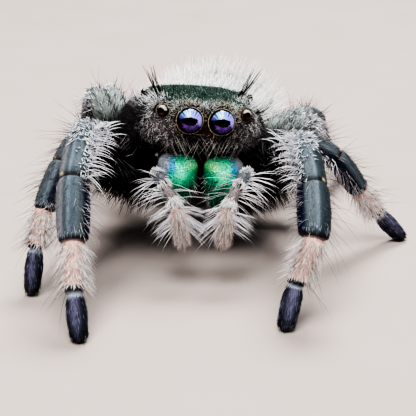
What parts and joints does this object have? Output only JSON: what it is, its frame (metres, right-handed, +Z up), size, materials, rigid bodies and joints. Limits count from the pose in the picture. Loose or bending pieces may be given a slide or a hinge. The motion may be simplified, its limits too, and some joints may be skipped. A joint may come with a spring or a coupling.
{
  "type": "jumping spider",
  "caption": "Life-size still model of a regal jumping spider in an alert stance, with green jaws, hanging palps and hairy grey legs.",
  "frame": {"origin": "middle of the footprint, on the surface that the feet stand on", "axes": "+Z up, face towards -Y, the spider's own left on +X"},
  "size_m": [0.013, 0.0202, 0.0064],
  "materials": {
    "shell": "dark brown-grey cuticle with fine pale hairs",
    "lens": "glossy dark violet lens",
    "jaw": "iridescent green scales",
    "fang": "polished dark brown",
    "palp": "grey brown under pale hairs",
    "underside": "black cuticle with short hairs",
    "white_hair": "long soft whitish hairs",
    "leg_velvet": "slate grey velvet with pale scales",
    "leg_pale": "pinkish tan with white scaly hairs",
    "toe": "blue-black velvet"
  },
  "bodies": {
    "root": {"carapace": "shell", "eye_front_middle_right": "lens", "eye_front_middle_left": "lens", "eye_front_side_right": "lens", "eye_front_side_left": "lens", "eye_small_side_right": "lens", "eye_small_side_left": "lens", "eye_rear_side_right": "lens", "eye_rear_side_left": "lens", "sternum": "underside", "chelicera_right": "jaw", "chelicera_left": "jaw", "fang_right": "fang", "fang_left": "fang", "palp_right": "palp", "palp_left": "palp", "leg_1_right_femur": "leg_velvet", "leg_1_right_patella": "leg_velvet", "leg_1_right_tibia": "leg_velvet", "leg_1_right_metatarsus": "leg_pale", "leg_1_right_tarsus": "toe", "leg_1_left_femur": "leg_velvet", "leg_1_left_patella": "leg_velvet", "leg_1_left_tibia": "leg_velvet", "leg_1_left_metatarsus": "leg_pale", "leg_1_left_tarsus": "toe", "leg_2_right_femur": "leg_velvet", "leg_2_right_patella": "leg_velvet", "leg_2_right_tibia": "leg_velvet", "leg_2_right_metatarsus": "leg_pale", "leg_2_right_tarsus": "toe", "leg_2_left_femur": "leg_velvet", "leg_2_left_patella": "leg_velvet", "leg_2_left_tibia": "leg_velvet", "leg_2_left_metatarsus": "leg_pale", "leg_2_left_tarsus": "toe", "leg_3_right_femur": "leg_velvet", "leg_3_right_patella": "leg_velvet", "leg_3_right_tibia": "leg_velvet", "leg_3_right_metatarsus": "leg_pale", "leg_3_right_tarsus": "toe", "leg_3_left_femur": "leg_velvet", "leg_3_left_patella": "leg_velvet", "leg_3_left_tibia": "leg_velvet", "leg_3_left_metatarsus": "leg_pale", "leg_3_left_tarsus": "toe", "leg_4_right_femur": "leg_velvet", "leg_4_right_patella": "leg_velvet", "leg_4_right_tibia": "leg_velvet", "leg_4_right_metatarsus": "leg_pale", "leg_4_right_tarsus": "toe", "leg_4_left_femur": "leg_velvet", "leg_4_left_patella": "leg_velvet", "leg_4_left_tibia": "leg_velvet", "leg_4_left_metatarsus": "leg_pale", "leg_4_left_tarsus": "toe", "abdomen": "white_hair", "spinnerets": "underside", "pedicel": "underside"}
  },
  "joints": []
}
